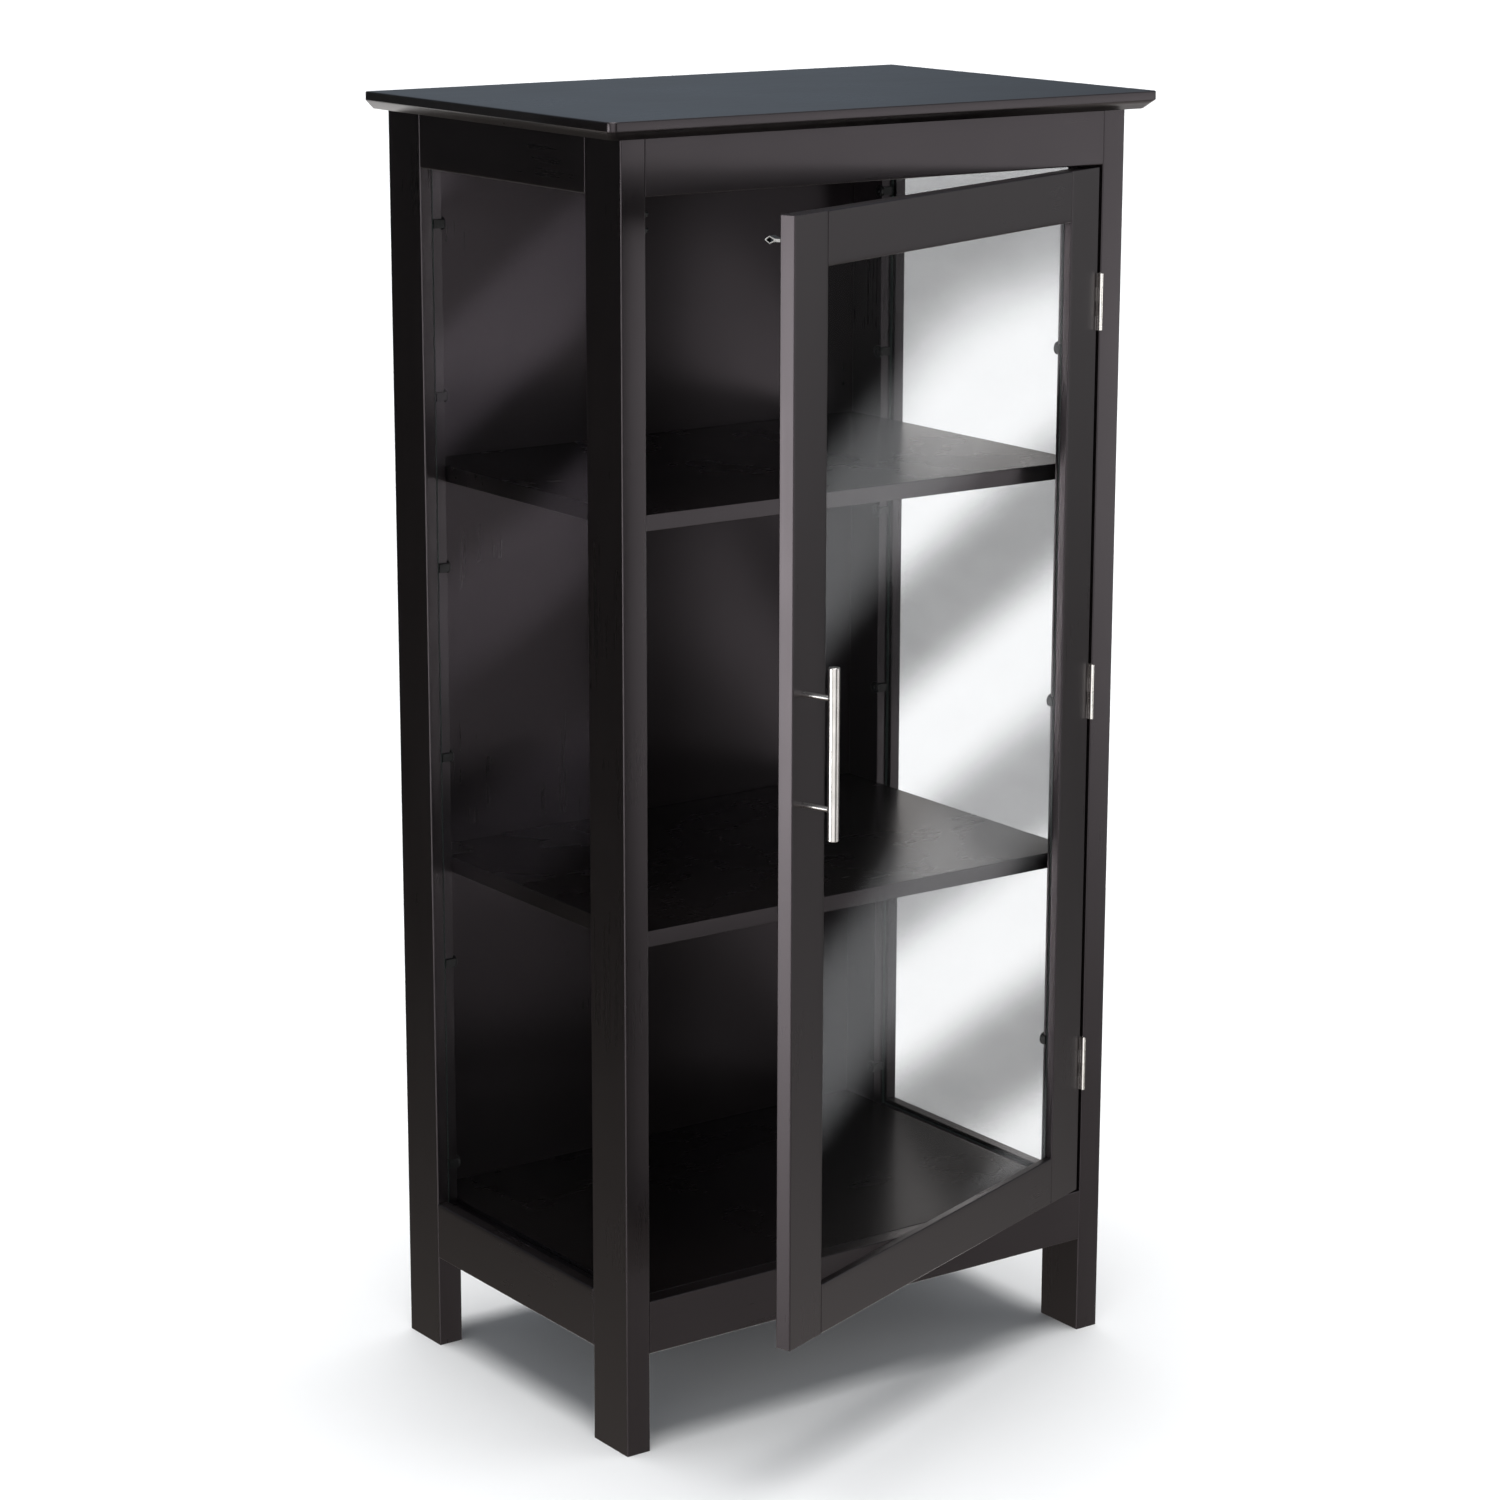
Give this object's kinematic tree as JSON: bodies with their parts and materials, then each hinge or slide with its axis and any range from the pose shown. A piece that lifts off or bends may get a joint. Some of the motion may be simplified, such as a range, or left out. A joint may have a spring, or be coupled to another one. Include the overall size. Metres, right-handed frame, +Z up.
{
  "type": "glass display cabinet",
  "caption": "Upright dark wood display cabinet on four legs, with glass sides, a hinged glass door, shelves, a bar handle and a roller catch.",
  "frame": {"origin": "on the floor, under the middle of the envelope with the door ajar; the cabinet's own middle is 98 mm behind it", "axes": "+Z up, +X to the right seen from the front, the door faces -Y"},
  "size_m": [0.6, 0.5791, 1.2],
  "materials": {
    "stained_wood": "satin espresso-brown lacquer, grain just visible",
    "stained_panel": "satin espresso-brown foil",
    "clear_glass": "clear float glass, polished edges hidden in the rabbets",
    "black_plastic": "moulded, matt",
    "blackened_steel": "black zinc, satin",
    "beech_dowel": "raw, fluted",
    "zinc_alloy": "die cast",
    "zinc_plated_steel": "bright zinc",
    "nickel_plated_steel": "satin nickel",
    "brushed_steel": "brushed along the bar",
    "spring_steel": "bright rolled strip and wire",
    "black_nylon": "moulded"
  },
  "bodies": {
    "cabinet": {"back_panel": "stained_panel", "back_panel_screws": "zinc_plated_steel", "bottom_panel": "stained_panel", "cam_bolts": "zinc_alloy", "cam_locks": "zinc_alloy", "catch_housing": "blackened_steel", "catch_lower_spring": "spring_steel", "catch_pivot_pins": "blackened_steel", "catch_screws": "blackened_steel", "catch_upper_spring": "spring_steel", "cross_rail_dowels": "beech_dowel", "front_bottom_rail": "stained_wood", "front_left_post": "stained_wood", "front_right_post": "stained_wood", "front_top_rail": "stained_wood", "hinge_cabinet_screws": "nickel_plated_steel", "hinge_pins": "nickel_plated_steel", "left_bottom_rail": "stained_wood", "left_glass": "clear_glass", "left_top_rail": "stained_wood", "lower_hinge_cabinet_leaf": "nickel_plated_steel", "lower_shelf": "stained_panel", "middle_hinge_cabinet_leaf": "nickel_plated_steel", "rear_bottom_rail": "stained_wood", "rear_left_post": "stained_wood", "rear_right_post": "stained_wood", "rear_top_rail": "stained_wood", "right_bottom_rail": "stained_wood", "right_glass": "clear_glass", "right_top_rail": "stained_wood", "shelf_pins": "zinc_plated_steel", "side_frame_dowels": "beech_dowel", "side_glass_clip_screws": "blackened_steel", "side_glass_clips": "black_plastic", "top_panel": "stained_wood", "upper_hinge_cabinet_leaf": "nickel_plated_steel", "upper_shelf": "stained_panel"},
    "door": {"door_bottom_rail": "stained_wood", "door_dowels": "beech_dowel", "door_glass": "clear_glass", "door_glass_clip_screws": "blackened_steel", "door_glass_clips": "black_plastic", "door_left_stile": "stained_wood", "door_right_stile": "stained_wood", "door_top_rail": "stained_wood", "handle_bar": "brushed_steel", "handle_posts": "brushed_steel", "handle_screws": "zinc_plated_steel", "lower_hinge_door_leaf": "nickel_plated_steel", "middle_hinge_door_leaf": "nickel_plated_steel", "upper_hinge_door_leaf": "nickel_plated_steel", "hinge_door_screws": "nickel_plated_steel", "catch_strike": "spring_steel", "catch_strike_screws": "zinc_plated_steel"},
    "catch_upper_arm": {"catch_upper_arm": "blackened_steel", "catch_upper_roller_pin": "blackened_steel"},
    "catch_upper_roller": {"catch_upper_roller": "black_nylon"},
    "catch_lower_arm": {"catch_lower_arm": "blackened_steel", "catch_lower_roller_pin": "blackened_steel"},
    "catch_lower_roller": {"catch_lower_roller": "black_nylon"}
  },
  "joints": [
    {"name": "door_hinge", "type": "hinge", "parent": "cabinet", "child": "door", "pos_m": [0.251, -0.0942, 0.639], "axis": [0, 0, 1], "range_deg": [-20, 155]},
    {"name": "catch_upper_pivot", "type": "hinge", "parent": "cabinet", "child": "catch_upper_arm", "pos_m": [-0.24, -0.0517, 1.118], "axis": [-1, 0, 0], "range_deg": [0, 6], "stiffness_Nm_per_rad": 0.2, "deforming": ["catch_upper_spring"]},
    {"name": "catch_lower_pivot", "type": "hinge", "parent": "cabinet", "child": "catch_lower_arm", "pos_m": [-0.24, -0.0517, 1.102], "axis": [1, 0, 0], "range_deg": [0, 6], "stiffness_Nm_per_rad": 0.2, "deforming": ["catch_lower_spring"]},
    {"name": "catch_upper_roller_spin", "type": "hinge", "parent": "catch_upper_arm", "child": "catch_upper_roller", "pos_m": [-0.24, -0.0677, 1.11685], "axis": [1, 0, 0], "continuous": true},
    {"name": "catch_lower_roller_spin", "type": "hinge", "parent": "catch_lower_arm", "child": "catch_lower_roller", "pos_m": [-0.24, -0.0677, 1.10315], "axis": [1, 0, 0], "continuous": true}
  ]
}
